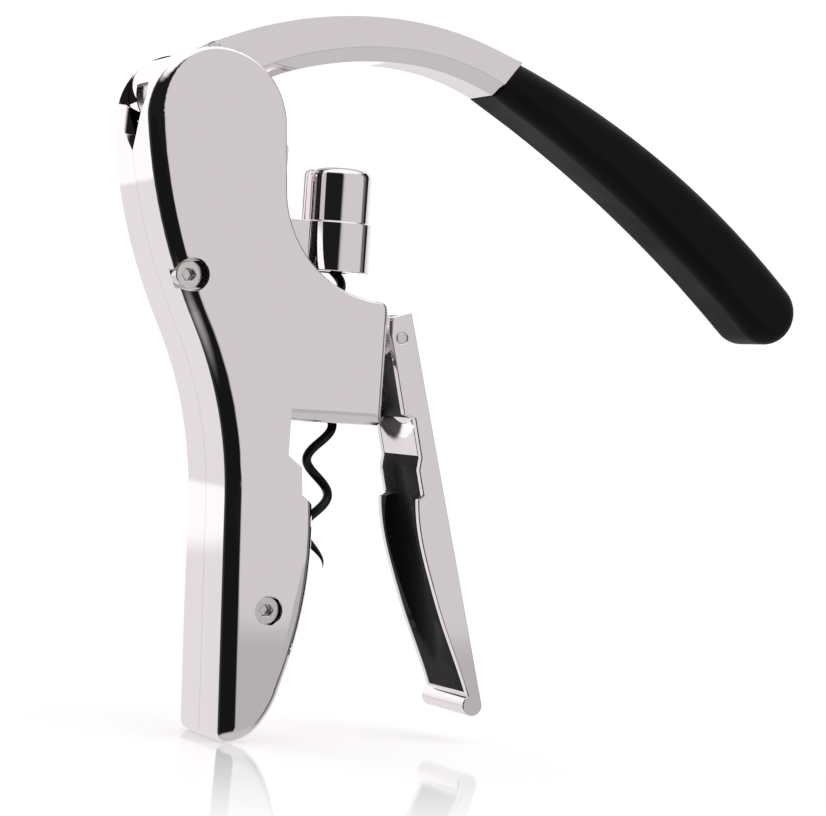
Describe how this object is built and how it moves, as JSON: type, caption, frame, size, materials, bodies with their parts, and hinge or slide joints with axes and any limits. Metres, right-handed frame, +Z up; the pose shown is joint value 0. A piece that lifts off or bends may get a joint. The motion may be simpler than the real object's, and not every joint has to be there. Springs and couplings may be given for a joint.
{
  "type": "lever corkscrew",
  "caption": "Lever corkscrew with a geared pull-over lever, self-turning worm, chromed split body and a hinged clamp lever that grips the bottle's neck.",
  "frame": {"origin": "on the worm's axis, at the block's underside where the bottle's mouth seats", "axes": "+Z up along the worm, +X towards the clamp lever, -Y the side with the screw heads"},
  "size_m": [0.1986, 0.034, 0.191],
  "materials": {
    "chrome": "mirror polished chromed die casting",
    "steel": "bright steel",
    "brass": "turned",
    "soft_black": "satin soft-touch elastomer",
    "nylon": "moulded nylon",
    "black_coat": "non-stick coating"
  },
  "bodies": {
    "frame": {"near_shell": "chrome", "far_shell": "chrome", "neck_pad": "soft_black", "upper_screw": "steel", "lower_screw": "steel", "threaded_inserts": "brass", "lever_axle": "steel", "axle_washers": "steel", "mouth_ring": "nylon", "nut_housing": "nylon", "nut_ring": "steel", "worm_nut": "nylon", "clamp_lug": "steel", "clamp_pin": "steel", "clamp_spring": "steel", "guide_rails": "nylon"},
    "lever": {"lever_arm": "chrome", "gear_sector": "steel", "sector_rivets": "steel", "lever_grip": "soft_black"},
    "carrier": {"rack": "steel", "worm_carrier": "chrome", "rack_screws": "steel", "thrust_washers": "steel", "carrier_cap": "chrome"},
    "worm_spindle": {"worm": "black_coat", "worm_collar": "steel"},
    "clamp": {"clamp_lever": "chrome", "clamp_jaw": "chrome", "clamp_liner": "nylon", "clamp_pad": "soft_black"}
  },
  "joints": [
    {"name": "lever_swing", "type": "hinge", "parent": "frame", "child": "lever", "pos_m": [-0.046, 0, 0.082], "axis": [0, -1, 0], "range_deg": [0, 98]},
    {"name": "carrier_slide", "type": "slide", "parent": "frame", "child": "carrier", "axis": [0, 0, 1], "range_m": [0, 0.0398]},
    {"name": "worm_spin", "type": "hinge", "parent": "carrier", "child": "worm_spindle", "pos_m": [0, 0, 0.045], "axis": [0, 0, 1], "range_deg": [0, 775]},
    {"name": "clamp_swing", "type": "hinge", "parent": "frame", "child": "clamp", "pos_m": [0.0161, 0, 0.0235], "axis": [0, 1, 0], "range_deg": [0, 16], "stiffness_Nm_per_rad": 0.3, "springref_deg": -28.65}
  ],
  "couplings": [
    {"joint": "carrier_slide", "follows": "lever_swing", "m_per_rad": 0.02325},
    {"joint": "worm_spin", "follows": "lever_swing", "ratio": 7.8964}
  ]
}
